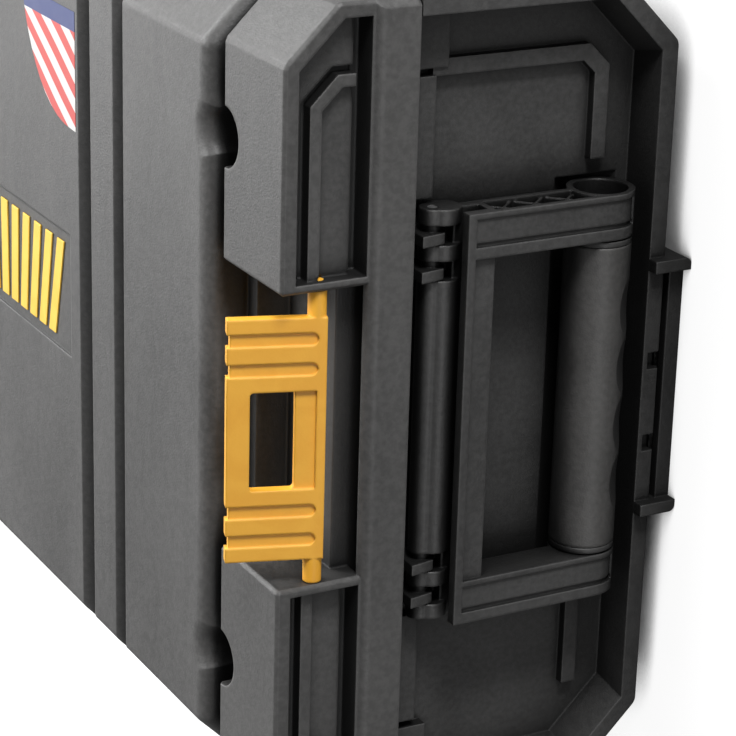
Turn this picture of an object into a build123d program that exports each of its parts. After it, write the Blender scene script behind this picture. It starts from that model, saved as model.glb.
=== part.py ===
from build123d import *
import os

# Driving dimensions in millimetres. The box stands on its base: X runs along its length, Y from the
# latches at the front to the hinge at the back, Z up. The origin is under the middle of the base.

# Overall envelope
half_length = 275.0
half_depth = 166.4
rim_z = 122.0
lid_height = 58.0
corner_leg = 26.0
corner_round = 5.0
wall = 4.0

# Base tub
flange_z = 9.4
flange_thickness = 8.0
ring_width = 7.0
rim_thickness = 15.0
end_recess = 18.0
side_recess = 18.4
recess_draft = 3.5
rib_width = 6.0
bay_rise = 34.0
foot_end_setback = 60.0
foot_side_setback = 38.4
foot_chamfer = 13.0
foot_groove_places = (43.0, 129.0)
foot_groove_width = 8.0
foot_groove_depth = 1.2
tongue_height = 8.0

# Relief on the end walls
ledge_step = 5.0
ledge_drop = 14.0
pad_width = 23.4
pad_drop = 19.0
pad_gap = 3.0
relief_height = 4.0
relief_width = 6.5
relief_side_gap = 20.4
relief_handle_gap = 9.0
relief_rise = 21.6
relief_chamfer = 9.0

# Lid
lid_corner_leg = 25.0
lid_corner_round = 4.0
skirt_gap = 0.5
skirt_setback = 3.5
band_height = 19.2
band_corner = 3.0
band_round = 5.0
band_lip = 4.5
gutter_depth = 8.0
panel_end_setback = 59.0
panel_edge_round = 7.0
end_groove_width = 7.0
end_groove_depth = 18.0
seal_thickness = 4.0
seal_lip = 3.0
panel_groove_depth = 5.0
panel_groove_slope = 4.5
wide_groove = (96.0, 13.3)
narrow_groove = (131.5, 10.5)
label_half_length = 79.0
label_half_depth = 27.5
label_depth = 0.8
pocket_y = 107.5
pocket_radius = 12.0
pocket_offset = 8.0
pocket_depth = 20.0
pocket_wall = 3.0
pocket_lip_round = 7.0

# End blocks of the lid, two at each end
block_setback = 2.0
block_drop = 3.6
block_wall = 3.5
block_frame = 5.8
block_edge = 1.2
block_floor_depth = 6.0
block_groove = 2.5
block_rib = 4.8
block_rib_height = 3.0
block_rib_top = 12.0
block_rib_side = 27.0
block_rib_leg = 11.0
block_slot_height = 4.8
block_slot_depth = 11.0
bay_floor_rise = 6.8

# Side latches
latch_inset = 7.0
latch_rise = 17.8
latch_lean = 17.9
latch_length = 34.0
latch_half_width = 48.6
latch_thickness = 4.6
latch_stub = 10.4
latch_stub_radius = 3.6
latch_pin_radius = 2.2
latch_step_depth = 1.2
window_half_width = 19.8
window_low = 8.0
window_high = 25.2
window_round = 1.5
latch_groove_places = (28.5, 40.3)
latch_groove_width = 5.2
latch_groove_depth = 0.9
latch_groove_start = 2.2
latch_notch_depth = 1.2

# Folding side handles
handle_axis_inset = 9.0
handle_axis_drop = 11.8
barrel_drop = 4.7
barrel_radius = 7.0
eye_radius = 5.2
ear_reach = 7.4
ear_rise = 7.6
ear_lean = 1.8
ear_nose_drop = 2.6
ear_toe = 2.0
ear_drop = 5.0
ear_boss_radius = 3.6
ear_width = 4.4
ear_slack = 2.9
knuckle_width = 6.2
swing_gap = 0.5
handle_reach = 6.5
handle_thickness = 16.0
handle_top_drop = 2.5
handle_bar_height = 13.0
handle_half_width = 84.0
handle_arm = 18.0
handle_wall = 2.6
web_thickness = 4.5
handle_rib = 1.4
handle_rib_count = 3
lip_height = 3.5
lip_step = 2.0
arm_groove_start = 4.6
arm_groove_width = 1.6
arm_groove_depth = 1.4
arm_panel_depth = 0.8
arm_rim = 2.2
arm_strip_drop = 9.0
arm_end_radius = 13.4
grip_drop = 66.3
grip_bore_radius = 6.0
grip_core_radius = 8.5
grip_radius = 13.2
grip_neck_radius = 12.0
grip_neck = 0.8
grip_collar = 2.2
finger_pitch = 24.4
finger_rests = 4
finger_width = 22.6
finger_depth = 1.5
trough_radius = 18.0
trough_gap = 2.0
handle_pin_radius = 2.0
handle_pin_depth = 7.5
handle_pin_inset = 0.2

# Receivers under the ends, which catch the side latches of a box below
receiver_clearance = 0.4
receiver_cap = 5.0
receiver_bar = 6.5
receiver_bar_thickness = 4.0
receiver_wall = 2.0
receiver_reach = 5.0
receiver_cap_rise = 7.0
receiver_cap_round = 2.6
receiver_notch_places = (-24.0, 11.0)
receiver_notch_width = 7.0
receiver_notch_height = 5.0

# Rear hinges and front draw latches, both as far from the ends
hinge_setback = 125.0
hinge_width = 90.0
hinge_lid_width = 49.0
hinge_gap = 0.5
hinge_radius = 5.5
hinge_pin_radius = 2.5
hinge_pin_inset = 1.0
bay_half_width = 40.0
bracket_half_width = 27.0
bracket_drop = 30.0
bracket_top = 12.0
bracket_thickness = 2.0
bracket_ear_radius = 5.0
lever_axis_inset = 6.9
lever_axis_drop = 30.0
lever_pin_radius = 2.0
lever_pin_head = 0.5
lever_half_width = 21.5
lever_inset = 1.0
lever_length = 42.0
lever_top = 2.5
lever_thickness = 1.6
lever_cheek_radius = 3.8
lever_cheek_low = 12.0
lever_curl_radius = 2.2
lever_dent_inset = 6.0
lever_dent_depth = 0.7
lever_dent_low = 8.0
lever_dent_high = 12.0
bail_radius = 1.6
bail_half_width = 30.5
bail_bend = 5.0
bail_pivot_drop = 15.0
bail_pivot_inset = 0.9
bail_pivot_length = 3.0
bail_tail = 1.5
bail_rise = 14.0
bail_top_inset = 10.4
keeper_half_width = 26.0
keeper_thickness = 1.5
keeper_low = 2.0
keeper_rise = 8.0
keeper_lip_gap = 6.1
keeper_lip_rise = 17.0
rivet_radius = 2.4
rivet_height = 1.2
rivet_sides = 12
rivet_taper = 35.0
rivet_half_spacing = 16.0
rivet_inset = 7.0
keeper_rivet_rise = 4.0

# Clearances
press_clearance = 0.02
pin_clearance = 0.05
side_clearance = 0.3
margin = 1.0

# Places on the base that follow from the sizes above
wall_x = half_length - end_recess
wall_y = half_depth - side_recess
cavity_x = wall_x - wall
cavity_y = wall_y - wall
foot_half_length = half_length - foot_end_setback
foot_half_depth = half_depth - foot_side_setback
bay_low_z = flange_z + bay_rise
slope_drop = half_depth - corner_leg - flange_z
ledge_z = rim_z - ledge_drop
pad_z = rim_z - pad_drop
pad_inner_y = half_depth - ring_width - pad_width
relief_outer_y = half_depth - ring_width - relief_side_gap
relief_inner_y = handle_half_width + relief_handle_gap
relief_low_z = flange_z + relief_rise
receiver_half_width = latch_half_width + receiver_clearance

# Places on the lid
lid_z = rim_z + lid_height
lid_rim_z = rim_z + skirt_gap
lid_slope_sum = half_depth + lid_z - lid_corner_leg
band_top_z = rim_z + band_height
skirt_wall_y = wall_y + skirt_gap + skirt_setback
tongue_z = rim_z + tongue_height
seal_z = tongue_z + seal_thickness
panel_half_length = half_length - panel_end_setback
panel_grooves = (wide_groove, narrow_groove)
end_groove_z = lid_z - end_groove_depth
pocket_x = panel_half_length + pocket_offset
pocket_floor_z = lid_z - pocket_depth
block_start_x = panel_half_length + end_groove_width
block_end_x = half_length - block_setback
block_top_z = lid_z - block_drop
block_inner_y = latch_half_width + latch_stub
block_slot_x = block_end_x - block_slot_depth
block_slot_top_z = band_top_z + block_slot_height
bay_floor_z = band_top_z + bay_floor_rise
latch_axis_x = half_length - latch_inset
latch_axis_z = band_top_z + latch_rise

# Places on the handles
handle_axis_x = half_length - handle_axis_inset
handle_axis_z = rim_z - handle_axis_drop
barrel_z = handle_axis_z - barrel_drop
handle_face_x = half_length + handle_reach
handle_back_x = handle_face_x - handle_thickness
handle_top_z = barrel_z - handle_top_drop
handle_bar_z = handle_top_z - handle_bar_height
hinge_step = knuckle_width + ear_slack + ear_width + swing_gap
barrel_half_width = handle_half_width - 2 * hinge_step
grip_axis_x = handle_face_x - arm_end_radius
grip_axis_z = handle_top_z - grip_drop

# Places on the hinges and draw latches
hinge_place = half_length - hinge_setback
hinge_axis_z = rim_z + skirt_gap / 2
lever_axis_y = half_depth - lever_axis_inset
lever_axis_z = rim_z - lever_axis_drop
lever_face_y = half_depth - lever_inset
lever_low_z = lever_axis_z - lever_length
bracket_low_z = lever_axis_z - bracket_drop
bail_pivot_y = -lever_axis_y + bail_pivot_inset
bail_pivot_z = lever_axis_z - bail_pivot_drop
bail_top_z = rim_z + bail_rise
bail_top_y = half_depth - bail_top_inset
keeper_lip_z = rim_z + keeper_lip_rise


def cuboid(x0, x1, y0, y1, z0, z1):
    """A box between two corners."""
    middle = Pos((x0 + x1) / 2, (y0 + y1) / 2, (z0 + z1) / 2)
    return middle * Box(abs(x1 - x0), abs(y1 - y0), abs(z1 - z0))


def along_x(points, x0, x1, rounding=0.0, corners=None):
    """A prism along X from an outline in Y and Z, with some of its corners rounded."""
    face = Polygon(*points, align=None)
    if rounding:
        chosen = [v for v in face.vertices() if corners is None or corners(v)]
        face = fillet(chosen, rounding)
    return extrude(Plane.YZ.offset(x0) * face, amount=x1 - x0, dir=(1, 0, 0))


def along_y(points, y0, y1):
    """A prism along Y from an outline in X and Z."""
    return extrude(Plane.XZ.offset(-y0) * Polygon(*points, align=None), amount=y1 - y0, dir=(0, 1, 0))


def rod_y(x, z, radius, y0, y1):
    """A round bar along Y."""
    return extrude(Plane.XZ.offset(-y1) * Pos(x, z) * Circle(radius), amount=y1 - y0)


def rod_x(y, z, radius, x0, x1):
    """A round bar along X."""
    return extrude(Plane.YZ.offset(x0) * Pos(y, z) * Circle(radius), amount=x1 - x0)


def both_ends(shape):
    """The shape and its mirror image at the other end of the box."""
    return shape + mirror(shape, about=Plane.YZ)


def both_sides(shape):
    """The shape and its mirror image on the other side of the box."""
    return shape + mirror(shape, about=Plane.XZ)


def mirrored(points):
    """An outline in Y and Z made whole from its half towards the back."""
    return [(-y, z) for y, z in reversed(points)] + points


def base_outline(inset, side, low, top):
    """Section of the base across the box, with its slopes moved inwards by an inset."""
    slope = slope_drop - inset * 2**0.5
    return mirrored([(low + slope, low), (side, side - slope), (side, top)])


def lid_outline(inset, side, low, top):
    """Section of the lid across the box, with its slopes moved inwards by an inset."""
    slope = lid_slope_sum - inset * 2**0.5
    return mirrored([(slope - top, top), (side, slope - side), (side, low)])


def tub_body():
    """Outer form of the base, with recessed ends and sides, before it is hollowed."""
    outline = base_outline(0, half_depth, flange_z, rim_z)
    body = along_x(outline, -half_length, half_length, corner_round, lambda v: v.Y < rim_z - margin)
    mouth = base_outline(ring_width, half_depth - ring_width, flange_z + ring_width, rim_z + margin)
    depth = ring_width + recess_draft
    back = base_outline(depth, half_depth - depth, flange_z + flange_thickness, rim_z + margin)
    sections = [
        Plane.YZ.offset(wall_x) * Polygon(*back, align=None),
        Plane.YZ.offset(half_length + margin) * Polygon(*mouth, align=None),
    ]
    body -= both_ends(loft(sections, ruled=True))
    return body + both_ends(end_ledge()) - side_bays()


def end_ledge():
    """Step under the rim on the end wall, with a pad at each corner."""
    side = half_depth - ring_width
    start = handle_half_width + trough_gap
    x0, x1 = wall_x - margin, wall_x + ledge_step
    ledge = cuboid(x0, x1, start, pad_inner_y - pad_gap, ledge_z, rim_z)
    ledge += cuboid(x0, x1, pad_inner_y - pad_gap, pad_inner_y, rim_z - wall, rim_z)
    ledge += cuboid(x0, x1, pad_inner_y, side, pad_z, rim_z)
    return both_sides(ledge)


def side_bays():
    """What is cut from the front and back faces between the rails, ribs and latch bays."""
    rail_z = bay_low_z - flange_thickness
    latch_span = (hinge_place - bay_half_width, hinge_place + bay_half_width)
    spans = [latch_span]
    inner_span = (rib_width / 2, latch_span[0] - rib_width)
    outer_span = (latch_span[1] + rib_width, wall_x - rib_width)
    for x0, x1 in (inner_span, outer_span):
        middle = (x0 + x1) / 2
        spans += [(x0, middle - rib_width / 2), (middle + rib_width / 2, x1)]
    cuts = Part()
    for y0, y1 in ((-half_depth - margin, -wall_y), (wall_y, half_depth + margin)):
        for span in spans:
            open_top = span == latch_span and y0 < 0
            top = rim_z + margin if open_top else rim_z - rim_thickness
            upper = cuboid(*span, y0, y1, bay_low_z, top)
            cuts += both_ends(upper + cuboid(*span, y0, y1, 0, rail_z))
    return cuts


def tub_cavity():
    """Space for the tools inside the base, with the sunk floor over the foot."""
    low = flange_z + wall
    room = along_x(base_outline(wall, cavity_y, low, tongue_z + margin), -cavity_x, cavity_x)
    x, y = foot_half_length - wall, foot_half_depth - wall
    return room + cuboid(-x, x, -y, y, wall, low + margin)


def foot():
    """Raised foot under the base, which drops into the lid of a box below."""
    x, y = foot_half_length, foot_half_depth
    plate = cuboid(-x, x, -y, y, 0, flange_z + margin)
    plate = chamfer(plate.edges().filter_by(Axis.Z), foot_chamfer)
    for place in foot_groove_places:
        x0, x1 = place - foot_groove_width / 2, place + foot_groove_width / 2
        plate -= both_ends(cuboid(x0, x1, -y, y, -margin, foot_groove_depth))
    return plate


def tongue():
    """Upright rim that the lid's seal lands on."""
    outer = cuboid(-wall_x, wall_x, -wall_y, wall_y, rim_z - margin, tongue_z)
    return outer - cuboid(-cavity_x, cavity_x, -cavity_y, cavity_y, 0, tongue_z + margin)


def end_relief():
    """Raised ribs on the end wall: a bent one towards the back and a straight one towards the front."""
    inner_y = relief_outer_y - relief_width
    top_z = relief_low_z + relief_width
    outer_leg = relief_chamfer
    inner_leg = relief_chamfer - relief_width * (2 - 2**0.5)
    bent = [
        (relief_inner_y, relief_low_z),
        (relief_outer_y - outer_leg, relief_low_z),
        (relief_outer_y, relief_low_z + outer_leg),
        (relief_outer_y, ledge_z + margin),
        (inner_y, ledge_z + margin),
        (inner_y, top_z + inner_leg),
        (inner_y - inner_leg, top_z),
        (relief_inner_y, top_z),
    ]
    x0, x1 = wall_x - margin, wall_x + relief_height
    return along_x(bent, x0, x1) + cuboid(x0, x1, -inner_y, -relief_inner_y, relief_low_z, top_z)


def hinge_stretches():
    """The stretches of Y of a handle's hinge: its knuckles, and the base's ears beside them."""
    knuckles = [(-barrel_half_width, barrel_half_width)]
    ears = []
    for n in range(2):
        upper = handle_half_width - n * hinge_step
        knuckles.append((upper - knuckle_width, upper))
        lower = -barrel_half_width - (n + 1) * hinge_step
        knuckles.append((lower, lower + knuckle_width))
        for ear_low in (upper - hinge_step + swing_gap, lower + knuckle_width + swing_gap):
            ears.append((ear_low, ear_low + ear_width))
    return knuckles, ears


def handle_ears():
    """Ears on the end wall that hold the pins of one side handle."""
    x, z = handle_axis_x, handle_axis_z
    root_x = wall_x - margin
    outline = [
        (root_x, z + ear_rise),
        (x + ear_reach, z + ear_rise),
        (x + ear_reach - ear_lean, z - ear_nose_drop),
        (x + ear_toe, z - ear_drop),
        (root_x, z - ear_drop),
    ]
    lugs = Part()
    for y0, y1 in hinge_stretches()[1]:
        lugs += along_y(outline, y0, y1)
        lugs += rod_y(x, z, ear_boss_radius, y1 - margin, y1 + ear_slack - side_clearance)
    bore = handle_pin_radius + press_clearance
    return lugs - rod_y(x, z, bore, -handle_half_width, handle_half_width)


def receiver():
    """Bar under the end with a wall behind it, held by a cap at each side."""
    width = receiver_half_width
    front_x = half_length - receiver_bar_thickness
    bar = cuboid(front_x, half_length, -width - margin, width + margin, 0, receiver_bar)
    bar += cuboid(wall_x, wall_x + receiver_wall, -width - margin, width + margin, 0, flange_z + margin)
    reach = half_length + receiver_reach
    cap = cuboid(wall_x, reach, width, width + receiver_cap, 0, flange_z + receiver_cap_rise)
    lowest = cap.edges().filter_by(Axis.X).group_by(Axis.Z)[0]
    return bar + both_sides(fillet(lowest.sort_by(Axis.Y)[-1], receiver_cap_round))


def receiver_notches():
    """Notches in the ring over the receiver's bar."""
    half = receiver_notch_width / 2
    x0, x1 = half_length - receiver_bar_thickness, half_length + margin
    notches = Part()
    for y in receiver_notch_places:
        notches += cuboid(x0, x1, y - half, y + half, flange_z - margin, flange_z + receiver_notch_height)
    return notches


def trough(radius, half_width):
    """Round bar in the place of the hollow that the folded handle lies in."""
    return rod_y(grip_axis_x, grip_axis_z, radius, -half_width, half_width)


def base_tub():
    """The moulded base: tub, rim, foot, end rings, side ribs, handle ears, hinge and receivers."""
    body = tub_body() + foot() + tongue()
    half_width = handle_half_width + trough_gap
    hump = trough(trough_radius + wall, half_width + wall)
    hump &= cuboid(0, wall_x, -half_depth, half_depth, flange_z + margin, rim_z)
    body = body - tub_cavity() + both_ends(hump) - both_ends(trough(trough_radius, half_width))
    body = body - both_ends(receiver_notches()) + both_ends(receiver() + end_relief() + handle_ears())
    return rear_hinge_half(body, lower=True)


def rear_hinge_half(body, lower):
    """Adds one half of the two rear hinges, with room for the other half's knuckles."""
    half = hinge_width / 2
    inner = hinge_lid_width / 2
    if lower:
        own = [(-half, -inner - hinge_gap), (inner + hinge_gap, half)]
        other = [(-inner - hinge_gap, inner + hinge_gap)]
        bore = hinge_pin_radius + press_clearance
    else:
        own = [(-inner, inner)]
        other = [(-half - hinge_gap, -inner), (inner, half + hinge_gap)]
        bore = hinge_pin_radius + pin_clearance
    y, z = half_depth, hinge_axis_z
    for place in (-hinge_place, hinge_place):
        for x0, x1 in other:
            body -= rod_x(y, z, hinge_radius + hinge_gap, place + x0, place + x1)
        for x0, x1 in own:
            body += rod_x(y, z, hinge_radius, place + x0, place + x1)
        body -= rod_x(y, z, bore, place - half - margin, place + half + margin)
    return body


def block_outline(inset, low):
    """Section of an end block across the box, for the block towards the back."""
    side = half_depth - inset
    slope = lid_slope_sum - inset * 2**0.5
    top = block_top_z - inset
    wall_in = block_inner_y + (block_wall if inset else 0)
    return [(wall_in, low), (wall_in, top), (slope - top, top), (side, slope - side), (side, low)]


def block_rib_outline(inset):
    """Section of the raised frame in a block's end face."""
    low = block_slot_top_z
    side = half_depth - block_rib_side - inset
    top = block_top_z - block_rib_top - inset
    leg = block_rib_leg - inset * (2 - 2**0.5)
    wall_in = block_inner_y + block_wall
    return [(wall_in, low), (wall_in, top), (side - leg, top), (side, top - leg), (side, low)]


def lid_block():
    """Block at the end of the lid, with the stepped frame and the deep slot in its end face."""
    block = along_x(block_outline(0, band_top_z - margin), block_start_x, block_end_x)
    outer = [edge for edge in block.edges() if edge.center().Z > block_slot_top_z]
    block = chamfer(outer, block_edge)
    floor_x = block_end_x - block_floor_depth
    recess = along_x(block_outline(block_frame, band_top_z), floor_x, half_length)
    groove = along_x(block_rib_outline(-block_groove), floor_x - block_groove, half_length)
    groove -= along_x(block_rib_outline(0), 0, half_length)
    rib = along_x(block_rib_outline(0), floor_x - margin, floor_x + block_rib_height)
    rib -= along_x(block_rib_outline(block_rib), 0, half_length)
    y0, y1 = block_inner_y + block_wall, half_depth - block_frame
    slot = cuboid(block_slot_x, half_length, y0, y1, band_top_z, block_slot_top_z)
    return block - recess - groove + rib - slot


def lid_body():
    """Outer form of the lid: panel, band round the rim, and the floor of the latch bays."""
    low = band_top_z - wall
    outline = lid_outline(0, half_depth, low, lid_z)
    x = panel_half_length
    panel = along_x(outline, -x, x, lid_corner_round, lambda v: v.Y > band_top_z)
    ends = panel.faces().filter_by(Axis.X)
    panel = fillet([e for face in ends for e in face.edges() if e.center().Z > band_top_z], panel_edge_round)
    band = cuboid(-half_length, half_length, -half_depth, half_depth, lid_rim_z, band_top_z)
    band = chamfer(band.edges().filter_by(Axis.Z), band_corner)
    band = fillet(band.edges().filter_by(Axis.Y).group_by(Axis.Z)[-1], band_round)
    x0, x1 = block_slot_x, half_length - band_lip
    side = half_depth - block_frame
    band -= both_ends(cuboid(x0, x1, -side, side, band_top_z - gutter_depth, band_top_z + margin))
    deck = cuboid(-block_slot_x, block_slot_x, -side, side, low, bay_floor_z)
    neck_x = block_start_x + margin
    neck = cuboid(-neck_x, neck_x, -wall_y, wall_y, low, end_groove_z)
    return panel + band + deck + neck


def lid_cavity():
    """Space inside the lid, over the seal line, with ribs left under the panel's grooves."""
    top = lid_z - wall
    x = panel_half_length - wall
    room = along_x(lid_outline(wall, cavity_y, rim_z, top), -x, x)
    sunk_inset = wall + panel_groove_depth
    sunk = lid_outline(sunk_inset, half_depth - sunk_inset, 0, top - panel_groove_depth)
    for middle, width in panel_grooves:
        half = width / 2 + panel_groove_slope
        strip = along_x(lid_outline(wall, half_depth - wall, seal_z, top), middle - half, middle + half)
        room -= both_ends(strip - along_x(sunk, 0, half_length))
    return room + cuboid(-cavity_x, cavity_x, -cavity_y, cavity_y, rim_z, bay_floor_z - wall)


def lid_block_room():
    """Hollow inside a block, open to the space under the lid."""
    x0 = block_start_x + block_wall
    x1 = block_end_x - max(block_floor_depth + block_groove, block_slot_depth) - block_wall
    room = along_x(block_outline(wall, bay_floor_z - wall - margin), x0, x1)
    return room & cuboid(0, half_length, 0, cavity_y - seal_lip, 0, lid_z)


def panel_groove(middle, width):
    """Soft-edged groove across the lid's top and down its slopes."""
    a, b = middle - width / 2, middle + width / 2
    low, high = lid_z - panel_groove_depth, lid_z + margin
    lean = panel_groove_slope / panel_groove_depth
    bottom = [(a + panel_groove_slope, low), (b - panel_groove_slope, low)]
    profile = [(a - lean, high)] + bottom + [(b + lean, high)]
    return along_y(profile, -half_depth - margin, half_depth + margin)


def pockets(radius, z0, z1):
    """Four upright round bars in the places of the lid's pockets."""
    bar = extrude(Plane.XY.offset(z0) * Pos(pocket_x, pocket_y) * Circle(radius), amount=z1 - z0)
    return both_ends(both_sides(bar))


def pocket_lips():
    """What rounding takes off the panel beside the four pockets."""
    radius = pocket_radius + pocket_lip_round
    low = lid_z - pocket_lip_round
    face = Plane.XY.offset(low) * Pos(pocket_x, pocket_y) * Circle(radius)
    lip = extrude(face, amount=lid_z + margin - low)
    lip -= Pos(pocket_x, pocket_y, low) * Torus(radius, pocket_lip_round)
    lip &= cuboid(0, block_start_x, 0, half_depth, low, lid_z + margin)
    return both_ends(both_sides(lip))


def lid_shell():
    """The moulded lid: panel, band, blocks, latch bays and its half of the hinges."""
    outer = lid_body() + both_ends(both_sides(lid_block()))
    body = outer - lid_cavity() - both_ends(both_sides(lid_block_room()))
    body += pockets(pocket_radius + pocket_wall, pocket_floor_z - wall, lid_z) & outer
    body -= pockets(pocket_radius, pocket_floor_z, lid_z + margin) + pocket_lips()
    for middle, width in panel_grooves:
        body -= both_ends(panel_groove(middle, width))
    x, y = label_half_length, label_half_depth
    body -= cuboid(-x, x, -y, y, lid_z - label_depth, lid_z + margin)
    body -= seal_channel()
    pin_end = block_inner_y + block_wall + margin
    body -= both_ends(rod_y(latch_axis_x, latch_axis_z, latch_pin_radius + pin_clearance, -pin_end, pin_end))
    x0, x1 = hinge_place - bay_half_width, hinge_place + bay_half_width
    body -= both_ends(cuboid(x0, x1, -half_depth - margin, -skirt_wall_y, 0, lid_z))
    return rear_hinge_half(body, lower=False)


def seal_channel():
    """Room under the lid's rim for the base's tongue and the seal above it."""
    x, y = wall_x + skirt_gap, wall_y + skirt_gap
    outer = cuboid(-x, x, -y, y, rim_z, seal_z)
    x, y = cavity_x - skirt_gap, cavity_y - skirt_gap
    inner = cuboid(-x, x, -y, y, rim_z - margin, seal_z + margin)
    x, y = cavity_x - seal_lip, cavity_y - seal_lip
    lip = inner - cuboid(-x, x, -y, y, 0, lid_z)
    below = cuboid(-cavity_x, cavity_x, -cavity_y, cavity_y, rim_z, tongue_z + margin)
    return outer - lip + below


def lid_seal():
    """Rubber seal in the lid's channel, resting on the base's tongue."""
    outer = cuboid(-wall_x, wall_x, -wall_y, wall_y, tongue_z, seal_z)
    x, y = cavity_x + side_clearance, cavity_y + side_clearance
    return outer - cuboid(-x, x, -y, y, 0, lid_z)


def side_latch():
    """One swinging end latch with its window, finger grooves and pivot pins."""
    w, radius = latch_half_width, latch_stub_radius
    face, back = radius, radius - latch_thickness
    body = cuboid(back, face, -w, w, -radius, latch_length)
    y = window_half_width
    window = cuboid(back - margin, face + margin, -y, y, window_low, window_high)
    body -= fillet(window.edges().filter_by(Axis.X), window_round)
    body -= cuboid(face - latch_step_depth, face + margin, -y, y, 0, window_low + margin)
    half = latch_groove_width / 2
    top = latch_length + margin
    for y in latch_groove_places:
        floor = face - latch_groove_depth
        groove = cuboid(floor, face + margin, y - half, y + half, latch_groove_start, top)
        groove += rod_x(y, latch_groove_start, half, floor, face + margin)
        groove += cuboid(back - margin, face, y - half, y + half, latch_length - latch_notch_depth, top)
        body -= both_sides(groove)
    body += both_sides(rod_y(0, 0, radius, w - margin, block_inner_y - side_clearance))
    body += both_sides(rod_y(0, 0, latch_pin_radius, w, block_inner_y + block_wall))
    return Pos(latch_axis_x, 0, latch_axis_z) * Rot(0, -latch_lean, 0) * body


def handle_arm_section():
    """The arm at the back side of the handle: a channel open to the outside, with crossed ribs in it."""
    y1 = handle_half_width
    y0 = y1 - handle_arm
    inner = handle_wall
    x0, x1 = handle_back_x + inner, handle_face_x - inner
    arm = cuboid(handle_back_x, handle_face_x, y0, y1, grip_axis_z, handle_top_z)
    arm -= cuboid(x0, x1, y0 + inner, y1 + margin, grip_axis_z, handle_bar_z)
    low = grip_axis_z + arm_end_radius - inner
    pitch = (handle_bar_z - low) / handle_rib_count
    for n in range(handle_rib_count):
        for start, end in ((n, n + 1), (n + 1, n)):
            a, b = low + start * pitch, low + end * pitch
            start_x, end_x = x0 - margin, x1 + margin
            rib = [(start_x, a), (end_x, b), (end_x, b + handle_rib), (start_x, a + handle_rib)]
            arm += along_y(rib, y0 + margin, y1 - handle_rib)
    arm += rod_y(grip_axis_x, grip_axis_z, arm_end_radius, y0, y1)
    return arm - rod_y(grip_axis_x, grip_axis_z, arm_end_radius - inner, y0 + inner, y1 + margin)


def arm_strip(depth, y0, y1):
    """What a sunk strip of some depth takes off the face and the round end of an arm."""
    x, z = grip_axis_x, grip_axis_z
    front = handle_face_x + margin
    strip = cuboid(handle_face_x - depth, front, y0, y1, z, handle_top_z - lip_height)
    bend = rod_y(x, z, arm_end_radius + margin, y0, y1) - rod_y(x, z, arm_end_radius - depth, y0, y1)
    return strip + (bend & cuboid(x, front, y0, y1, z - arm_strip_drop, z))


def arm_face_cuts(y0):
    """Groove and sunk panel down the outer face of an arm that starts at y0."""
    groove_y = y0 + arm_groove_start
    panel_y = groove_y + arm_groove_width
    panel_end = y0 + handle_arm - arm_rim
    return arm_strip(arm_groove_depth, groove_y, panel_y) + arm_strip(arm_panel_depth, panel_y, panel_end)


def handle_frame():
    """The folding frame of a side handle, hanging folded against the end wall."""
    y = handle_half_width
    bar_half = y - handle_arm
    frame = both_sides(handle_arm_section())
    face = handle_face_x - lip_step
    frame += cuboid(handle_back_x, face, -bar_half - margin, bar_half + margin, handle_bar_z, handle_top_z)
    frame += cuboid(face - handle_wall, handle_face_x, -y, y, handle_top_z - lip_height, handle_top_z)
    web_x = handle_back_x + web_thickness
    low = handle_bar_z + handle_wall
    frame -= cuboid(web_x, face - handle_wall, -y - margin, y + margin, low, handle_top_z + margin)
    x, z = grip_axis_x, grip_axis_z
    frame += rod_y(x, z, grip_core_radius, -bar_half - margin, bar_half + margin)
    neck = bar_half - grip_neck
    collars = rod_y(x, z, grip_neck_radius, neck - margin, bar_half + margin)
    collars += rod_y(x, z, grip_radius, neck - grip_collar, neck)
    frame += both_sides(collars)
    frame -= rod_y(x, z, grip_bore_radius, -y - margin, y + margin)
    frame -= arm_face_cuts(-y) + arm_face_cuts(bar_half)
    for y0, y1 in hinge_stretches()[0]:
        frame += rod_y(handle_axis_x, barrel_z, barrel_radius, y0, y1)
        frame += rod_y(handle_axis_x, handle_axis_z, eye_radius, y0, y1)
        frame += cuboid(handle_back_x, web_x, y0, y1, handle_bar_z, barrel_z)
    start = barrel_half_width - handle_pin_depth
    bore = rod_y(handle_axis_x, handle_axis_z, handle_pin_radius + pin_clearance, start, y + margin)
    return frame - both_sides(bore)


def handle_grip():
    """Soft sleeve moulded round the frame's bar, with a row of finger rests along its outer underside."""
    half = handle_half_width - handle_arm - grip_neck - grip_collar - side_clearance
    x, z = grip_axis_x, grip_axis_z
    sleeve = rod_y(x, z, grip_radius, -half, half)
    scoop_radius = (finger_width**2 / 4 + finger_depth**2) / (2 * finger_depth)
    reach = (grip_radius + scoop_radius - finger_depth) / 2**0.5
    for n in range(finger_rests):
        middle = (n - (finger_rests - 1) / 2) * finger_pitch
        across = Plane(origin=(x + reach, middle, z - reach), z_dir=(1, 0, 1))
        sleeve -= extrude(across * Circle(scoop_radius), amount=grip_radius, both=True)
    return sleeve - rod_y(x, z, grip_core_radius + pin_clearance, -half - margin, half + margin)


def handle_pins():
    """The two steel pins that one side handle swings on."""
    start = barrel_half_width - handle_pin_depth + side_clearance
    end = handle_half_width - handle_pin_inset
    x, z, r = handle_axis_x, handle_axis_z, handle_pin_radius
    return Compound([rod_y(x, z, r, start, end), rod_y(x, z, r, -end, -start)])


def hinge_pin(place):
    """Steel pin of one rear hinge."""
    half = hinge_width / 2 - hinge_pin_inset
    return rod_x(half_depth, hinge_axis_z, hinge_pin_radius, place - half, place + half)


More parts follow.
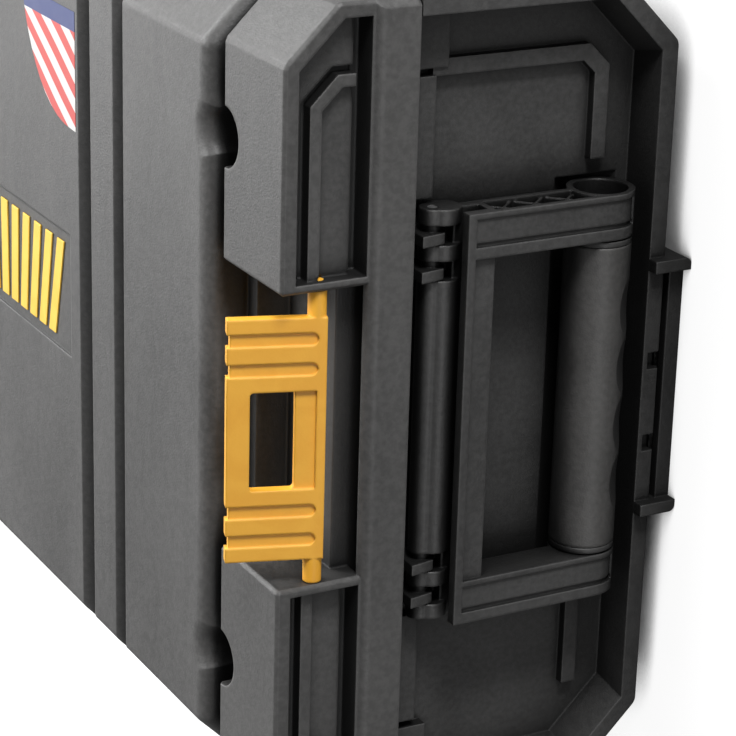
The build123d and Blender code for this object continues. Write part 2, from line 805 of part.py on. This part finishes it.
def latch_bracket(place):
    """Steel bracket on the front wall that carries a latch lever."""
    w = bracket_half_width
    t = bracket_thickness
    r = bracket_ear_radius
    bracket = cuboid(-w, w, -wall_y - t, -wall_y, bracket_low_z, lever_axis_z + bracket_top)
    for x0 in (-w, w - t):
        bracket += rod_x(-lever_axis_y, lever_axis_z, r, x0, x0 + t)
        bracket += cuboid(x0, x0 + t, -lever_axis_y, -wall_y, lever_axis_z - r, lever_axis_z + r)
    bore = lever_pin_radius + press_clearance
    return Pos(place, 0, 0) * (bracket - rod_x(-lever_axis_y, lever_axis_z, bore, -w - margin, w + margin))


def latch_lever_pin(place):
    """Pin through the bracket's ears and the lever."""
    half = bracket_half_width + lever_pin_head
    return rod_x(-lever_axis_y, lever_axis_z, lever_pin_radius, place - half, place + half)


def latch_lever(place):
    """Pressed steel lever with turned sides and a curled finger edge."""
    w = lever_half_width
    t = lever_thickness
    face = -lever_face_y
    top = lever_axis_z + lever_top
    lever = cuboid(-w, w, face, face + t, lever_low_z, top)
    lever += rod_x(face + lever_curl_radius, lever_low_z, lever_curl_radius, -w, w)
    for x0 in (-w, w - t):
        x1 = x0 + t
        lever += cuboid(x0, x1, face, -lever_axis_y, bail_pivot_z - lever_cheek_low, top)
        lever += rod_x(-lever_axis_y, lever_axis_z, lever_cheek_radius, x0, x1)
        lever += rod_x(bail_pivot_y, bail_pivot_z, lever_cheek_radius, x0, x1)
        lever += cuboid(x0, x1, face, -lever_axis_y + lever_cheek_radius, bail_pivot_z, lever_axis_z)
    end = w + margin
    lever -= rod_x(-lever_axis_y, lever_axis_z, lever_pin_radius + pin_clearance, -end, end)
    lever -= rod_x(bail_pivot_y, bail_pivot_z, bail_radius + pin_clearance, -end, end)
    x1 = w - lever_dent_inset
    z0, z1 = lever_low_z + lever_dent_low, lever_axis_z - lever_dent_high
    return Pos(place, 0, 0) * (lever - cuboid(-x1, x1, face - margin, face + lever_dent_depth, z0, z1))


def latch_bail(place):
    """Wire bail from the lever up over the keeper."""
    end_x = lever_half_width - lever_thickness - bail_tail
    side_x = bail_half_width
    points = [
        (-end_x, bail_pivot_y, bail_pivot_z),
        (-side_x, bail_pivot_y, bail_pivot_z),
        (-side_x, -bail_top_y, bail_top_z),
        (side_x, -bail_top_y, bail_top_z),
        (side_x, bail_pivot_y, bail_pivot_z),
        (end_x, bail_pivot_y, bail_pivot_z),
    ]
    path = FilletPolyline(*points, radius=bail_bend)
    start = Plane(origin=path @ 0, z_dir=path % 0)
    wire = sweep(start * RegularPolygon(bail_radius, 8), path=path)
    for end in (-end_x, end_x - bail_pivot_length):
        wire += rod_x(bail_pivot_y, bail_pivot_z, bail_radius, end, end + bail_pivot_length)
    return Pos(place, 0, 0) * wire


def latch_keeper(place):
    """Hooked steel keeper on the lid that the bail pulls on."""
    w = keeper_half_width
    t = keeper_thickness
    back = -skirt_wall_y
    seat = bail_top_z - bail_radius - side_clearance
    front = -bail_top_y - keeper_lip_gap
    keeper = cuboid(-w, w, back - t, back, lid_rim_z + keeper_low, keeper_lip_z + keeper_rise)
    keeper += cuboid(-w, w, front - t, back, seat - t, seat)
    return Pos(place, 0, 0) * (keeper + cuboid(-w, w, front - t, front, seat - t, keeper_lip_z))


def rivets(y, z):
    """Rivet heads in a row on the plates of both draw latches."""
    head = extrude(RegularPolygon(rivet_radius, rivet_sides), amount=rivet_height, taper=rivet_taper)
    heads = []
    for place in (-hinge_place, hinge_place):
        for x in (-rivet_half_spacing, rivet_half_spacing):
            heads.append(Pos(place + x, y, z) * Rot(90, 0, 0) * head)
    return Compound(heads)


def save(shape, name):
    """Writes one piece under its own name."""
    shape.label = name
    export_step(shape, f"parts/{name}.step")


os.makedirs("parts", exist_ok=True)
save(base_tub(), "base_tub")
save(lid_shell(), "lid_shell")
save(lid_seal(), "lid_seal")

end_pieces = {
    "side_latch": side_latch(),
    "handle_frame": handle_frame(),
    "handle_grip": handle_grip(),
    "handle_pins": handle_pins(),
}
for piece, shape in end_pieces.items():
    save(shape, f"right_{piece}")
    save(mirror(shape, about=Plane.YZ), f"left_{piece}")

for side, place in (("right", hinge_place), ("left", -hinge_place)):
    save(hinge_pin(place), f"{side}_hinge_pin")
    save(latch_bracket(place), f"{side}_latch_bracket")
    save(latch_lever(place), f"{side}_latch_lever")
    save(latch_lever_pin(place), f"{side}_latch_lever_pin")
    save(latch_bail(place), f"{side}_latch_bail")
    save(latch_keeper(place), f"{side}_latch_keeper")

save(rivets(-wall_y - bracket_thickness, bracket_low_z + rivet_inset), "bracket_rivets")
save(rivets(-skirt_wall_y - keeper_thickness, keeper_lip_z + keeper_rivet_rise), "keeper_rivets")
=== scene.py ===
from math import cos, pi, radians, sin

import bmesh
import bpy
from mathutils import Matrix, Vector


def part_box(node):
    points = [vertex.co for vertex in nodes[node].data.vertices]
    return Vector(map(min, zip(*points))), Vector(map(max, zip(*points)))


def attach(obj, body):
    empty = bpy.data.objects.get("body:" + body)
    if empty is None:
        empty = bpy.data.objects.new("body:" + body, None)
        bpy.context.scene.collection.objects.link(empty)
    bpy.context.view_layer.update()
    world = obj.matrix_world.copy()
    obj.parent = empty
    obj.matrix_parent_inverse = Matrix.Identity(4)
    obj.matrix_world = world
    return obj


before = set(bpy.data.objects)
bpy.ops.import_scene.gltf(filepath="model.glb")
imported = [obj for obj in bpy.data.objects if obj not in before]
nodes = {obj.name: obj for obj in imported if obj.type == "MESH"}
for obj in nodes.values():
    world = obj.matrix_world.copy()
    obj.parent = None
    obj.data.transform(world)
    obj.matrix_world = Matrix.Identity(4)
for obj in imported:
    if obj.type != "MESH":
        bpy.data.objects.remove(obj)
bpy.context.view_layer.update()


# Base tub
# The lower half of the box, moulded in one from black structural foam. Its skin is matt and finely
# grained, mottled where the foam swirled in the mould, and faintly rippled on its flat walls. Its edges
# are paler, partly wear and partly painted highlight, and its deep corners get painted shade.
class Wire:
    """A socket in a node tree. Sums on it add Math nodes."""

    def __init__(self, tree, socket):
        self.tree = tree
        self.socket = socket

    def __add__(self, other):
        return self.tree.maths("ADD", self, other)

    def __sub__(self, other):
        return self.tree.maths("SUBTRACT", self, other)

    def __rsub__(self, other):
        return self.tree.maths("SUBTRACT", other, self)

    def __mul__(self, other):
        return self.tree.maths("MULTIPLY", self, other)

    __radd__ = __add__
    __rmul__ = __mul__

    def between(self, low, high):
        """Runs from 0 at low to 1 at high, and stays there."""
        sockets = {"Value": self, "From Min": low, "From Max": high}
        return self.tree.add("ShaderNodeMapRange", {"interpolation_type": "SMOOTHSTEP"}, sockets)

    def spread(self):
        """Noise, which keeps near 0.5, spread over the whole way from 0 to 1."""
        return self.between(0.3, 0.7)


class Tree:
    """A node tree, and the one way of adding nodes to it."""

    def __init__(self, node_tree):
        self.node_tree = node_tree

    def feed(self, node, sockets):
        """Links a wire to its socket, and sets anything else on it."""
        for key, value in sockets.items():
            if isinstance(value, Wire):
                self.node_tree.links.new(value.socket, node.inputs[key])
            else:
                node.inputs[key].default_value = value

    def add(self, kind, settings=None, sockets=None, output=0):
        """Adds a node, its settings first, and gives one of its outputs."""
        node = self.node_tree.nodes.new(kind)
        for key, value in (settings or {}).items():
            setattr(node, key, value)
        self.feed(node, sockets or {})
        return Wire(self, node.outputs[output])

    def maths(self, operation, *values):
        return self.add("ShaderNodeMath", {"operation": operation}, dict(enumerate(values)))


class Finish(Tree):
    """A material whose Principled shader takes constants, and patterns from the nodes added to it."""

    def __init__(self, name, **constants):
        self.material = bpy.data.materials.new(name)
        self.material.use_nodes = True
        super().__init__(self.material.node_tree)
        self.shader = self.node_tree.nodes["Principled BSDF"]
        self.feed(self.shader, {key.replace("_", " "): value for key, value in constants.items()})

    def place(self, scale=(1, 1, 1)):
        """Metres along the object's axes. A scale under 1 draws a pattern out along its axis."""
        point = self.add("ShaderNodeTexCoord", output="Object")
        return self.add("ShaderNodeMapping", sockets={"Vector": point, "Scale": scale})

    def noise(self, point, per_metre, detail=2, distortion=0):
        sockets = {"Vector": point, "Scale": per_metre, "Detail": detail, "Distortion": distortion}
        return self.add("ShaderNodeTexNoise", sockets=sockets)

    def blend(self, mask, low, high):
        """The colour low where the mask is 0, and high where it is 1. A Mix's colour sockets go by number."""
        return self.add("ShaderNodeMix", {"data_type": "RGBA"}, {0: mask, 6: low, 7: high}, output=2)

    def rounded(self, radius):
        """Normal of the surface with its edges eased, and how near an edge a point is."""
        eased = self.add("ShaderNodeBevel", {"samples": 6}, {"Radius": radius})
        flat = self.add("ShaderNodeNewGeometry", output="Normal")
        alike = self.add("ShaderNodeVectorMath", {"operation": "DOT_PRODUCT"}, {0: eased, 1: flat}, "Value")
        on_the_flat = 0.02
        on_a_square_edge = 0.3
        return eased, (1 - alike).between(on_the_flat, on_a_square_edge)

    def open_sky(self, reach, samples=6):
        """1 where nothing stands within reach of a point, towards 0 in a deep corner."""
        return self.add("ShaderNodeAmbientOcclusion", {"samples": samples}, {"Distance": reach}, "AO")

    def bump(self, height, distance, strength, normal):
        sockets = {"Height": height, "Distance": distance, "Strength": strength, "Normal": normal}
        return self.add("ShaderNodeBump", sockets=sockets)

    def cover(self, piece):
        piece.data.materials.clear()
        piece.data.materials.append(self.material)


def grey(level, warmth=0.0):
    """A grey as a colour, pushed towards red for warmth."""
    return (level * (1 + warmth), level, level * (1 - warmth), 1)


def moulded_plastic(name, level, roughness, sheen, grain_size, edge_radius, flow=(1, 1, 1), warmth=0.01,
                    corner_reach=0.055, corner_shut=0.42, corner_open=0.92):
    """Black plastic with a spark-eroded grain, whose mottling is drawn out along its flow."""
    darkest = grey(level * 0.62, warmth)
    palest = grey(level * 1.4, warmth)
    # Paler edges: partly wear, partly painted highlight.
    worn_and_highlit_edge = grey(level * 2.6, warmth)
    painted_corner_shade = grey(level * 0.08)
    finish = Finish(name, Specular_IOR_Level=sheen)
    point = finish.place()
    swirl = finish.noise(finish.place(flow), per_metre=24, detail=5, distortion=0.8)
    cloud = finish.noise(point, per_metre=9, detail=3)
    speckle = finish.noise(point, per_metre=420, detail=3)
    grain = finish.noise(point, per_metre=1 / grain_size)
    ripple = finish.noise(finish.place((1, 0.35, 1)), per_metre=46, distortion=1.2)
    eased, edge = finish.rounded(edge_radius)
    wavy = finish.bump(ripple, distance=0.0008, strength=0.28, normal=eased)
    mottling = swirl.spread() * 0.35 + cloud.spread() * 0.25 + speckle.spread() * 0.4
    skin = finish.blend(edge * 0.65, finish.blend(mottling, darkest, palest), worn_and_highlit_edge)
    # Painted shade: the colour falls almost to black in corners, grooves and recesses, by how closed-in a
    # point is.
    free_of_painted_shade = finish.open_sky(corner_reach).between(corner_shut, corner_open)
    finish.feed(finish.shader, {
        "Base Color": finish.blend(free_of_painted_shade, painted_corner_shade, skin),
        "Roughness": roughness + (swirl - 0.5) * 0.16 + (speckle - 0.5) * 0.08,
        "Normal": finish.bump(grain, distance=0.0002, strength=0.6, normal=wavy),
    })
    return finish


base_plastic = moulded_plastic("base_plastic", level=0.056, roughness=0.5, sheen=0.34, grain_size=0.0009,
                               edge_radius=0.0011)
base_plastic.cover(nodes["base_tub"])


# Lid
# The upper half, moulded in one from the same foam: a flat panel with two grooves at each end, four
# hollow end blocks, and the band that closes over the base's rim. The foam flowed across the panel, which
# drew its mottling out into faint streaks. It turns on two pins at the back.
# Painted shade darkens its grooves and corners. Its level is paler than the base's though the foam is the
# same: painted light on its top, which faces the lamps.
lid_plastic = moulded_plastic("lid_plastic", level=0.068, roughness=0.48, sheen=0.45, grain_size=0.0009,
                              edge_radius=0.0015, flow=(1, 0.3, 1), warmth=0.015,
                              corner_reach=0.02, corner_shut=0.55, corner_open=0.97)
lid_plastic.cover(nodes["lid_shell"])


# Lid label
# Slanted bars of orange-yellow plastic, moulded in relief and glued into the shallow recess in the middle
# of the lid. They lean outwards from the middle one to either side.
lid_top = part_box("lid_shell")[1].z
recess_depth = 0.0008
bar_height = 0.0007
bar_width = 0.0078
bar_pitch = 0.0124
bar_half_length = 0.0225
bar_edge = 0.0002
outermost_lean = 0.0055
bars_a_side = 5


def yellow_plastic(name, dark, pale, worn_and_highlit_edge, grain_size, grain_depth, edge_radius):
    """Orange-yellow plastic with a satin skin, faintly clouded, and paler along its edges, partly as wear and
    partly as painted highlight.
    """
    finish = Finish(name, Specular_IOR_Level=0.4)
    point = finish.place()
    cloud = finish.noise(point, per_metre=60, detail=4, distortion=1)
    grain = finish.noise(point, per_metre=1 / grain_size)
    eased, edge = finish.rounded(edge_radius)
    clouded = finish.blend(cloud.spread(), dark, pale)
    finish.feed(finish.shader, {
        "Base Color": finish.blend(edge * 0.5, clouded, worn_and_highlit_edge),
        "Roughness": 0.46 + (cloud - 0.5) * 0.12,
        "Normal": finish.bump(grain, distance=grain_depth, strength=0.3, normal=eased),
    })
    return finish


def piece_of(mesh, name, finish):
    """A finished object from a bmesh."""
    data = bpy.data.meshes.new(name)
    mesh.to_mesh(data)
    mesh.free()
    piece = bpy.data.objects.new(name, data)
    bpy.context.scene.collection.objects.link(piece)
    finish.cover(piece)
    return piece


label_plastic = yellow_plastic("label_plastic", dark=(0.80, 0.50, 0.06, 1), pale=(0.86, 0.55, 0.08, 1),
                               worn_and_highlit_edge=(0.90, 0.62, 0.16, 1), grain_size=1 / 1300, grain_depth=0.00006,
                               edge_radius=0.0004)
label_mesh = bmesh.new()
for number in range(-bars_a_side, bars_a_side + 1):
    bar = bmesh.ops.create_cube(label_mesh, size=1.0)["verts"]
    bmesh.ops.scale(label_mesh, vec=(bar_width, 2 * bar_half_length, bar_height), verts=bar)
    lean = outermost_lean * number / bars_a_side
    for corner in bar:
        corner.co.x += lean * corner.co.y / bar_half_length
    middle = Vector((number * bar_pitch, 0, lid_top - recess_depth + bar_height / 2))
    bmesh.ops.translate(label_mesh, vec=middle, verts=bar)
bmesh.ops.bevel(label_mesh, geom=label_mesh.edges[:], offset=bar_edge, affect="EDGES", segments=2,
                profile=0.5, material=-1)
label_bars = piece_of(label_mesh, "lid_label_bars", label_plastic)
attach(label_bars, "lid")


# Lid sticker
# A thin printed film stuck on the lid beside the grooves, with plain slanting stripes in red and white and
# a blue band along its straight back edge. Its left front side is one sweep, a little fuller along the lid
# than an oval is.
sticker_right = 0.0868
sticker_back = 0.1262
sticker_length = 0.058
sticker_depth = 0.051
sticker_gap = 0.00002
sticker_thickness = 0.00015
sweep_steps = 12
sweep_length_power = 0.8
sweep_depth_power = 1.4
stripe_width = 0.0062
stripe_slope = 0.62
stripe_wander = 0.5
stripe_blur = 0.015
blue_band = 0.0085
blue_blur = 0.0002
printed_blue = (0.035, 0.05, 0.16, 1)
sticker_print = Finish("sticker_print", Specular_IOR_Level=0.5)
point = sticker_print.place()
along = sticker_print.add("ShaderNodeSeparateXYZ", sockets={"Vector": point}, output="X")
across = sticker_print.add("ShaderNodeSeparateXYZ", sockets={"Vector": point}, output="Y")
wander = sticker_print.noise(point, per_metre=14, detail=1)
pairs = (across + along * stripe_slope) * (1 / (2 * stripe_width)) + wander * stripe_wander
from_white = sticker_print.maths("ABSOLUTE", sticker_print.maths("FRACT", pairs) - 0.5)
is_red = from_white.between(0.25 - stripe_blur, 0.25 + stripe_blur)
blue_front = sticker_back - blue_band
is_blue = across.between(blue_front, blue_front + blue_blur)
faded = sticker_print.noise(point, per_metre=120, detail=3)
printed_red = sticker_print.blend(faded, (0.50, 0.055, 0.05, 1), (0.56, 0.085, 0.075, 1))
printed_white = sticker_print.blend(faded, (0.60, 0.59, 0.58, 1), (0.66, 0.65, 0.63, 1))
striped = sticker_print.blend(is_red, printed_white, printed_red)
sticker_print.feed(sticker_print.shader, {
    "Base Color": sticker_print.blend(is_blue, striped, printed_blue),
    "Roughness": 0.51 + (faded - 0.5) * 0.12,
})
sticker_mesh = bmesh.new()
rim = [(sticker_right, sticker_back)]
for step in range(sweep_steps + 1):
    turn = pi / 2 * step / sweep_steps
    x = sticker_right - sticker_length * cos(turn) ** sweep_length_power
    y = sticker_back - sticker_depth * sin(turn) ** sweep_depth_power
    rim.append((x, y))
film = sticker_mesh.faces.new([sticker_mesh.verts.new((x, y, lid_top + sticker_gap)) for x, y in rim])
lifted = bmesh.ops.extrude_face_region(sticker_mesh, geom=[film])["geom"]
lifted = [part for part in lifted if isinstance(part, bmesh.types.BMVert)]
bmesh.ops.translate(sticker_mesh, vec=(0, 0, sticker_thickness), verts=lifted)
bmesh.ops.recalc_face_normals(sticker_mesh, faces=sticker_mesh.faces[:])
sticker = piece_of(sticker_mesh, "lid_sticker", sticker_print)
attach(sticker, "lid")


# Lid seal
# A closed loop of foamed rubber, black and dull, pressed into the channel under the lid's edge. It lands
# on the base's tongue when the lid is shut.
seal_rubber = moulded_plastic("seal_rubber", level=0.02, roughness=0.85, sheen=0.3, grain_size=0.0016,
                              edge_radius=0.0004)
seal_rubber.cover(nodes["lid_seal"])


# Pins, brackets, bails and keepers
# Bright drawn pins, and zinc-plated pressings and wire of the two draw latches, riveted to the front, with
# the plating's faint crystalline cloudiness. The levers are powder coated black over the steel.
ends = ("right", "left")


def plated_steel(name, level, roughness):
    """Steel under a faintly clouded plating, brighter along its edges."""
    finish = Finish(name, Metallic=1.0)
    point = finish.place()
    cloud = finish.noise(point, per_metre=70, detail=4, distortion=0.5)
    grain = finish.noise(point, per_metre=900)
    eased, edge = finish.rounded(0.0005)
    clouded = finish.blend(cloud, grey(level * 0.8, -0.02), grey(level * 1.15, 0.01))
    brighter_edge = grey(min(level * 1.5, 0.95))
    finish.feed(finish.shader, {
        "Base Color": finish.blend(edge * 0.6, clouded, brighter_edge),
        "Roughness": roughness + (cloud - 0.5) * 0.1 + (grain - 0.5) * 0.06,
        "Normal": finish.bump(grain, distance=0.00003, strength=0.4, normal=eased),
    })
    return finish


bright_steel = plated_steel("bright_steel", level=0.8, roughness=0.38)
zinc_steel = plated_steel("zinc_steel", level=0.5, roughness=0.34)
coated_steel = moulded_plastic("coated_steel", level=0.03, roughness=0.36, sheen=0.5, grain_size=0.0006,
                               edge_radius=0.0006)
for side in ends:
    for part in ("handle_pins", "hinge_pin", "latch_lever_pin"):
        bright_steel.cover(nodes[f"{side}_{part}"])
    for part in ("latch_bracket", "latch_bail", "latch_keeper"):
        zinc_steel.cover(nodes[f"{side}_{part}"])
    coated_steel.cover(nodes[f"{side}_latch_lever"])
for part in ("bracket_rivets", "keeper_rivets"):
    zinc_steel.cover(nodes[part])


# End handles
# A black moulded frame at each end, hinged on two steel pins under the base's rim, with crossed ribs in
# its arms. A soft sleeve with finger rests is moulded round its lower bar.
handle_plastic = moulded_plastic("handle_plastic", level=0.048, roughness=0.42, sheen=0.36,
                                 grain_size=0.0011, edge_radius=0.0014)
grip_rubber = moulded_plastic("grip_rubber", level=0.055, roughness=0.5, sheen=0.6, grain_size=0.0007,
                              edge_radius=0.0018, warmth=0.03)
for side in ends:
    handle_plastic.cover(nodes[f"{side}_handle_frame"])
    grip_rubber.cover(nodes[f"{side}_handle_grip"])


# Side latches
# One piece of orange-yellow plastic at each end, grooved, with a window in its middle. Its pivot pins are
# moulded on and sprung into the lid's end blocks.
latch_yellow = yellow_plastic("latch_yellow", dark=(0.82, 0.39, 0.032, 1), pale=(0.87, 0.44, 0.045, 1),
                              worn_and_highlit_edge=(0.92, 0.54, 0.12, 1), grain_size=1 / 1100, grain_depth=0.0001,
                              edge_radius=0.0012)
for side in ends:
    latch_yellow.cover(nodes[f"{side}_side_latch"])


# Floor
# A plain pale floor, which the camera sees as white and which keeps the box's shadow. Near and under the
# box its glow is cut, a painted contact shadow. From below it is clear, so that the box's underside can
# be looked at.
floor_half_side = 12.0
floor_gap = 0.0002
floor_glow = 0.88
black = grey(0)
white = grey(1)
paper = Finish("paper", Base_Color=grey(0.3), Roughness=0.9, Emission_Strength=floor_glow)
camera_ray = paper.add("ShaderNodeLightPath", output="Is Camera Ray")
# Painted shadow: the floor's glow is cut where the box stands near it, under the box and in its slots.
clear_of_painted_shadow = paper.open_sky(0.05, samples=16).between(0.1, 0.5)
paper.feed(paper.shader, {"Emission Color": paper.blend(camera_ray * clear_of_painted_shadow, black, white)})
from_below = paper.add("ShaderNodeNewGeometry", output="Backfacing")
opaque = Wire(paper, paper.shader.outputs["BSDF"])
clear = paper.add("ShaderNodeBsdfTransparent")
either = paper.add("ShaderNodeMixShader", sockets={0: from_below, 1: opaque, 2: clear})
paper.feed(paper.node_tree.nodes["Material Output"], {"Surface": either})
floor_mesh = bmesh.new()
bmesh.ops.create_grid(floor_mesh, x_segments=1, y_segments=1, size=floor_half_side)
bmesh.ops.translate(floor_mesh, vec=(0, 0, -floor_gap), verts=floor_mesh.verts[:])
floor = piece_of(floor_mesh, "floor", paper)


# Studio light
# White surroundings, which the camera sees at full strength and which light the box only faintly. Three
# broad soft lights stand behind and above it, and two low ones beside the near end.
white_mirrored = 0.4
white_lighting = 0.06
lamp_distance = 2.2
lit_point = Vector((0.1, 0, 0.1))
world = bpy.data.worlds.new("studio")
bpy.context.scene.world = world
world.use_nodes = True
surroundings = Tree(world.node_tree)
seen = surroundings.add("ShaderNodeLightPath", output="Is Camera Ray")
mirrored = surroundings.add("ShaderNodeLightPath", output="Is Glossy Ray")
faint = white_lighting + mirrored * (white_mirrored - white_lighting)
surroundings.feed(world.node_tree.nodes["Background"], {
    "Color": white,
    "Strength": surroundings.maths("MAXIMUM", seen, faint),
})


def softbox(name, azimuth, height, size, power):
    """A square area light turned to face the box. Its angles, seen from the box, are in degrees."""
    level = cos(radians(height))
    direction = Vector((level * cos(radians(azimuth)), level * sin(radians(azimuth)), sin(radians(height))))
    lamp = bpy.data.lights.new(name, "AREA")
    lamp.size = size
    lamp.energy = power
    holder = bpy.data.objects.new(name, lamp)
    facing = (-direction).to_track_quat("-Z", "Y").to_matrix().to_4x4()
    holder.matrix_world = Matrix.Translation(lit_point + direction * lamp_distance) @ facing
    bpy.context.scene.collection.objects.link(holder)


softbox("top", azimuth=120, height=65, size=1.0, power=36)
softbox("back", azimuth=135, height=35, size=1.0, power=44)
softbox("far_end", azimuth=180, height=35, size=1.0, power=14)
softbox("hinge_side", azimuth=60, height=8, size=0.55, power=46)
softbox("near_end", azimuth=345, height=4, size=0.55, power=6)


# Camera
# It stands where the photograph was taken, with a long lens and turned on its side as the box was: the
# hinge side is up in the picture, and the lid faces left.
camera_place = Vector((1.10147, 0.37245, 0.59403))
camera_right = Vector((0.4725, 0.0257, -0.881))
camera_up = Vector((-0.3146, 0.9386, -0.1413))
camera_data = bpy.data.cameras.new("camera")
camera_data.sensor_width = 36
camera_data.lens = 131.41
camera = bpy.data.objects.new("camera", camera_data)
turned = Matrix((camera_right, camera_up, camera_right.cross(camera_up))).transposed()
camera.matrix_world = Matrix.Translation(camera_place) @ turned.to_4x4()
bpy.context.scene.collection.objects.link(camera)
bpy.context.scene.camera = camera
bpy.context.scene.view_settings.view_transform = "Standard"
